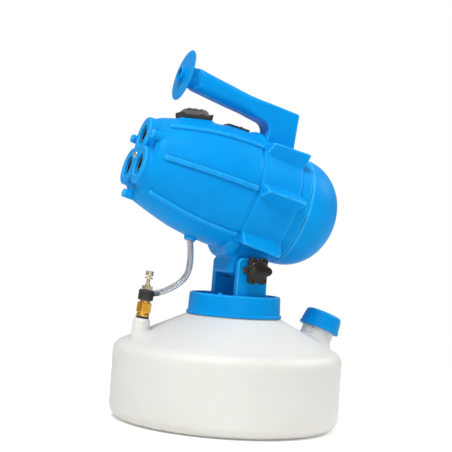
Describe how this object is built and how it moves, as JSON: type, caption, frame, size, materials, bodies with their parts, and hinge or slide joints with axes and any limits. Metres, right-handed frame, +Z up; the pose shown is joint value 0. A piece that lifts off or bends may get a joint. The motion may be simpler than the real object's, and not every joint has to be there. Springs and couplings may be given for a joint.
{
  "type": "electrostatic disinfectant sprayer",
  "caption": "Hand-held electrostatic sprayer: a finned blower head with a nozzle cluster and grip handle, tilting in a yoke on a round liquid tank with a filler cap and flow valve.",
  "frame": {"origin": "centre of the tank's round foot, on the ground", "axes": "+Z up, -Y the way the nozzles point, +X the side of the clamp knob"},
  "size_m": [0.2588, 0.275, 0.4141],
  "materials": {
    "tank": "blow-moulded natural polyethylene, satin, slightly translucent",
    "blue_shell": "injection-moulded, fine satin grain",
    "blue_fittings": "injection-moulded, semi-gloss",
    "black_plastic": "smooth moulded",
    "black_parts": "glass-filled moulded",
    "rubber": "matt",
    "hose": "clear flexible vinyl",
    "boot": "clear flexible silicone",
    "rocker_red": "glossy moulded",
    "brass": "turned, lightly tarnished",
    "steel": "turned and pressed",
    "aluminium": "die cast",
    "copper": "enamelled copper wire and bars",
    "potting": "potted resin block"
  },
  "bodies": {
    "tank_base": {"tank": "tank", "neck_gasket": "rubber", "yoke": "blue_fittings", "valve_seal": "rubber", "valve_fitting": "brass", "valve_body": "black_parts", "valve_gland": "brass", "dip_tube": "hose", "dip_strainer": "black_parts", "hose_lower": "hose", "clamp_bolt": "steel", "friction_disc_right": "rubber", "friction_disc_left": "rubber"},
    "collar": {"collar_ring": "blue_fittings"},
    "cap_seal": {"filler_seal": "rubber"},
    "cap": {"filler_cap": "blue_fittings"},
    "needle": {"valve_needle": "steel"},
    "flow_knob": {"valve_knob": "brass"},
    "lock_nut": {"valve_lock_nut": "brass"},
    "clamp_plate": {"clamp_washer": "steel"},
    "clamp_grip": {"clamp_knob": "black_plastic", "knob_insert": "brass"},
    "head": {"front_casing": "blue_shell", "tilt_lug": "blue_shell", "nose_block": "blue_shell", "nozzle_sleeve_1": "steel", "nozzle_sleeve_2": "steel", "nozzle_sleeve_3": "steel", "swirl_core_1": "brass", "swirl_core_2": "brass", "swirl_core_3": "brass", "nose_screw": "steel", "hv_electrode": "steel", "liquid_manifold": "black_parts", "feed_hose": "hose", "hose_upper": "hose", "hose_grommet": "rubber", "handle": "blue_shell", "handle_guard": "blue_shell", "power_lead": "rubber", "power_switch": "black_plastic", "switch_boot": "boot", "hv_switch": "black_plastic", "motor_housing": "blue_shell", "rear_cover": "blue_shell", "front_bracket": "aluminium", "fan_shroud": "black_parts", "stator": "steel", "rear_bracket": "aluminium", "front_bearing": "steel", "rear_bearing": "steel", "hv_module": "potting"},
    "power_button": {"power_rocker": "rocker_red"},
    "hv_button": {"hv_rocker": "black_plastic"},
    "rotor": {"motor_shaft": "steel", "armature": "copper", "commutator": "copper", "fan_wheel": "aluminium"}
  },
  "joints": [
    {"name": "head_tilt", "type": "hinge", "parent": "tank_base", "child": "head", "pos_m": [0, 0.0072, 0.1737], "axis": [-1, 0, 0], "range_deg": [-14, 20]},
    {"name": "collar_turn", "type": "hinge", "parent": "tank_base", "child": "collar", "pos_m": [0, 0.004, 0.13], "axis": [0, 0, 1], "range_deg": [0, 540]},
    {"name": "cap_lift", "type": "slide", "parent": "tank_base", "child": "cap_seal", "axis": [0, 0.342, 0.9397], "range_m": [0, 0.006]},
    {"name": "cap_turn", "type": "hinge", "parent": "cap_seal", "child": "cap", "pos_m": [0, 0.1127, 0.1095], "axis": [0, 0.342, 0.9397], "range_deg": [0, 550]},
    {"name": "needle_travel", "type": "slide", "parent": "tank_base", "child": "needle", "axis": [0, 0.0958, 0.9954], "range_m": [0, 0.0024]},
    {"name": "flow_turn", "type": "hinge", "parent": "needle", "child": "flow_knob", "pos_m": [0, -0.1043, 0.1125], "axis": [0, 0.0958, 0.9954], "range_deg": [0, 1100]},
    {"name": "lock_nut_turn", "type": "hinge", "parent": "tank_base", "child": "lock_nut", "pos_m": [0, -0.1043, 0.1125], "axis": [0, 0.0958, 0.9954], "range_deg": [0, 360]},
    {"name": "clamp_travel", "type": "slide", "parent": "tank_base", "child": "clamp_plate", "axis": [1, 0, 0], "range_m": [0, 0.0025]},
    {"name": "clamp_turn", "type": "hinge", "parent": "clamp_plate", "child": "clamp_grip", "pos_m": [0, 0.0072, 0.1737], "axis": [1, 0, 0], "range_deg": [0, 735]},
    {"name": "power_press", "type": "hinge", "parent": "head", "child": "power_button", "pos_m": [0, -0.06111, 0.33686], "axis": [-1, 0, 0], "range_deg": [0, 14]},
    {"name": "hv_press", "type": "hinge", "parent": "head", "child": "hv_button", "pos_m": [0, -0.00987, 0.33151], "axis": [-1, 0, 0], "range_deg": [0, 14]},
    {"name": "rotor_spin", "type": "hinge", "parent": "head", "child": "rotor", "pos_m": [0, 0.00002, 0.26005], "axis": [0, 0.9699, -0.2436], "continuous": true}
  ],
  "couplings": [
    {"joint": "cap_turn", "follows": "cap_lift", "rad_per_m": 1570.8},
    {"joint": "flow_turn", "follows": "needle_travel", "rad_per_m": 7854},
    {"joint": "clamp_turn", "follows": "clamp_travel", "rad_per_m": 5026.5}
  ]
}
